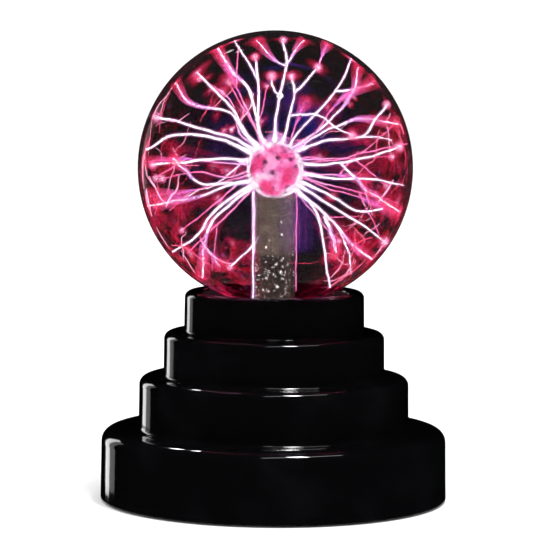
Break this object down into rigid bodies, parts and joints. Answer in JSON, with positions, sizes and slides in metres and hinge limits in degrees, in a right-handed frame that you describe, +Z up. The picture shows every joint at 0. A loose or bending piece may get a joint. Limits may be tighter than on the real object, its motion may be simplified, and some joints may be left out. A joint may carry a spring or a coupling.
{
  "type": "plasma ball",
  "caption": "Desk plasma ball: dark glass globe with a central electrode on a stepped round glossy black base, with battery bay, power inlet and slide switch.",
  "frame": {"origin": "centre of the face that the feet stand on", "axes": "+Z up through the globe, -Y to the front, +Y to the wall with the power inlet and the switch, +X to the viewer's right"},
  "size_m": [0.098, 0.098, 0.1326],
  "materials": {
    "base_shell": "polished black ABS",
    "globe": "clear blown glass, darkened",
    "glass_stem": "clear glass",
    "exhaust_tip": "clear glass, flame-sealed",
    "steel_wool_core": "packed steel wool",
    "globe_gasket": "soft black rubber",
    "neck_collar": "black nylon",
    "neck_sealant": "white silicone",
    "collar_screws": "zinc-plated",
    "bottom_cover": "textured black ABS",
    "battery_door": "textured black ABS",
    "rubber_feet": "matt black rubber",
    "cover_screws": "zinc-plated",
    "battery_contacts": "nickel-plated spring steel",
    "battery_springs": "nickel-plated spring wire",
    "circuit_board": "green solder mask",
    "board_screws": "zinc-plated",
    "transformer_core": "grey-black ferrite",
    "transformer_bobbin": "cream nylon",
    "primary_winding": "enamelled copper wire",
    "high_voltage_coil": "fine enamelled wire under amber varnish",
    "heat_sink": "extruded",
    "transistor": "black moulding compound",
    "heat_sink_screw": "zinc-plated",
    "electrolytic_capacitors": "dark blue sleeve",
    "film_capacitor": "dipped red-brown epoxy",
    "resistors": "tan lacquer with colour bands",
    "jack_housing": "black nylon",
    "jack_pin": "nickel-plated brass",
    "switch_case": "folded steel",
    "switch_base": "brown phenolic",
    "switch_knob": "black acetal",
    "high_voltage_lead": "white silicone insulation",
    "battery_lead_red": "red PVC insulation",
    "battery_lead_black": "black PVC insulation"
  },
  "bodies": {
    "base_and_globe": {"base_shell": "base_shell", "globe": "globe", "glass_stem": "glass_stem", "exhaust_tip": "exhaust_tip", "steel_wool_core": "steel_wool_core", "globe_gasket": "globe_gasket", "neck_collar": "neck_collar", "neck_sealant": "neck_sealant", "collar_screws": "collar_screws", "bottom_cover": "bottom_cover", "rubber_feet": "rubber_feet", "cover_screws": "cover_screws", "battery_contacts": "battery_contacts", "battery_springs": "battery_springs", "circuit_board": "circuit_board", "board_screws": "board_screws", "transformer_core": "transformer_core", "transformer_bobbin": "transformer_bobbin", "primary_winding": "primary_winding", "high_voltage_coil": "high_voltage_coil", "heat_sink": "heat_sink", "transistor": "transistor", "heat_sink_screw": "heat_sink_screw", "electrolytic_capacitors": "electrolytic_capacitors", "film_capacitor": "film_capacitor", "resistors": "resistors", "jack_housing": "jack_housing", "jack_pin": "jack_pin", "switch_case": "switch_case", "switch_base": "switch_base", "high_voltage_lead": "high_voltage_lead", "battery_lead_red": "battery_lead_red", "battery_lead_black": "battery_lead_black"},
    "battery_door": {"battery_door": "battery_door"},
    "switch_knob": {"switch_knob": "switch_knob"}
  },
  "joints": [
    {"name": "power_switch", "type": "slide", "parent": "base_and_globe", "child": "switch_knob", "axis": [1, 0, 0], "range_m": [0, 0.004]},
    {"name": "battery_door_hinge", "type": "hinge", "parent": "base_and_globe", "child": "battery_door", "pos_m": [0, -0.0327, 0.0022], "axis": [1, 0, 0], "range_deg": [-90, 0]}
  ]
}
